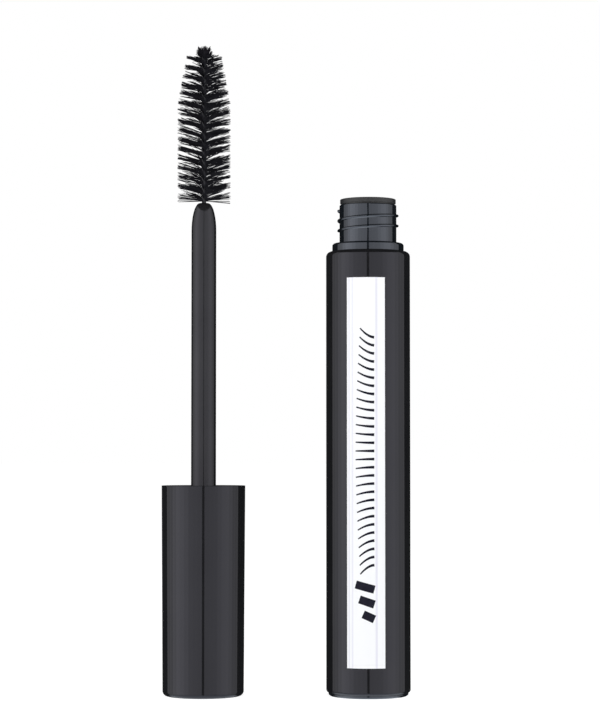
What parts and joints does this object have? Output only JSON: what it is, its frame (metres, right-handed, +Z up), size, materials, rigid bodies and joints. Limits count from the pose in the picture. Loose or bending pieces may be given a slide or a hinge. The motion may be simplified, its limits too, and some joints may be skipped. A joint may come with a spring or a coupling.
{
  "type": "mascara tube",
  "caption": "Open mascara tube: a standing bottle with threaded neck, wiper and front label, and its cap with stem and twisted-wire brush standing upside down beside it.",
  "frame": {"origin": "centre of the bottle's base, on the surface that the bottle and the upturned applicator both stand on", "axes": "+Z up the bottle's axis towards its neck; the label faces -Y; the applicator stands on the -X side"},
  "size_m": [0.0496, 0.0169, 0.1296],
  "materials": {
    "gloss_shell": "polished black",
    "bottle_plastic": "smooth dark blue-grey",
    "wiper_plastic": "soft satin dark grey",
    "paste": "wet black paste",
    "label_film": "glossy white film",
    "inner_cap_plastic": "moulded black",
    "seal_foam": "matte pale foam",
    "stem_plastic": "satin dark grey",
    "wire": "dark drawn steel",
    "bristle_fibre": "black fibre"
  },
  "bodies": {
    "bottle": {"outer_sleeve": "gloss_shell", "inner_bottle": "bottle_plastic", "neck_fitting": "bottle_plastic", "wiper": "wiper_plastic", "mascara_formula": "paste", "front_label": "label_film"},
    "cap_seal": {"cap_seal_ring": "seal_foam"},
    "applicator": {"overcap": "gloss_shell", "inner_cap": "inner_cap_plastic", "stem": "stem_plastic", "twisted_wire": "wire", "bristles": "bristle_fibre"}
  },
  "joints": [
    {"name": "applicator_lift", "type": "slide", "parent": "bottle", "child": "cap_seal", "axis": [0, 0, 1], "range_m": [0, 0.1]},
    {"name": "applicator_twist", "type": "hinge", "parent": "cap_seal", "child": "applicator", "pos_m": [-0.0329, 0, 0.0313], "axis": [0, 0, 1], "range_deg": [0, 720]}
  ]
}
